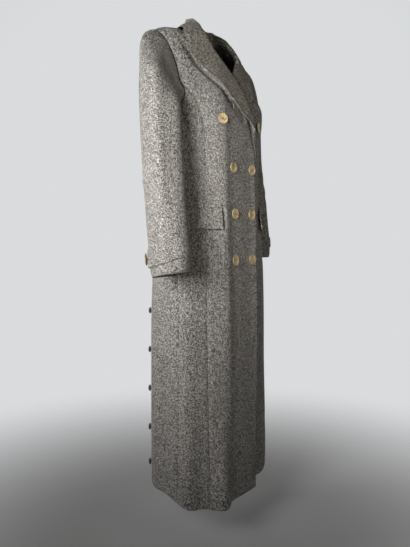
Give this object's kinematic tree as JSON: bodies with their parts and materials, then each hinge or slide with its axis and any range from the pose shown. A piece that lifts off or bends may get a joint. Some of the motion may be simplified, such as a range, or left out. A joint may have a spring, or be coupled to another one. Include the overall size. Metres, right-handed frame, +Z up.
{
  "type": "redingote coat",
  "caption": "Long double-breasted princess-line coat of flecked tweed with notched lapels, flapped pockets, cuff tabs and horn buttons, hollow and shaped as worn.",
  "frame": {"origin": "middle of the neck opening at shoulder height, where the wearer carries the coat", "axes": "+X to the wearer's left, -Y to the front, +Z up along the coat's length"},
  "size_m": [0.6021, 0.2829, 1.3217],
  "materials": {
    "tweed": "napped, flecked",
    "horn": "polished horn",
    "dark_button": "satin"
  },
  "bodies": {
    "root": {"back": "tweed", "collar": "tweed", "front_button_1": "horn", "front_button_2": "horn", "front_button_3": "horn", "front_button_4": "horn", "front_button_5": "horn", "front_button_6": "horn", "front_button_7": "horn", "front_button_8": "horn", "left_back_button_1": "dark_button", "left_back_button_2": "dark_button", "left_back_button_3": "dark_button", "left_back_button_4": "dark_button", "left_back_button_5": "dark_button", "left_cuff_button": "horn", "left_cuff_tab": "tweed", "left_flap": "tweed", "left_front": "tweed", "left_jet": "tweed", "left_lapel": "tweed", "left_side_back": "tweed", "left_side_front": "tweed", "left_under_sleeve": "tweed", "left_upper_sleeve": "tweed", "right_back_button_1": "dark_button", "right_back_button_2": "dark_button", "right_back_button_3": "dark_button", "right_back_button_4": "dark_button", "right_back_button_5": "dark_button", "right_cuff_button": "horn", "right_cuff_tab": "tweed", "right_flap": "tweed", "right_front": "tweed", "right_jet": "tweed", "right_lapel": "tweed", "right_side_back": "tweed", "right_side_front": "tweed", "right_under_sleeve": "tweed", "right_upper_sleeve": "tweed"}
  },
  "joints": []
}
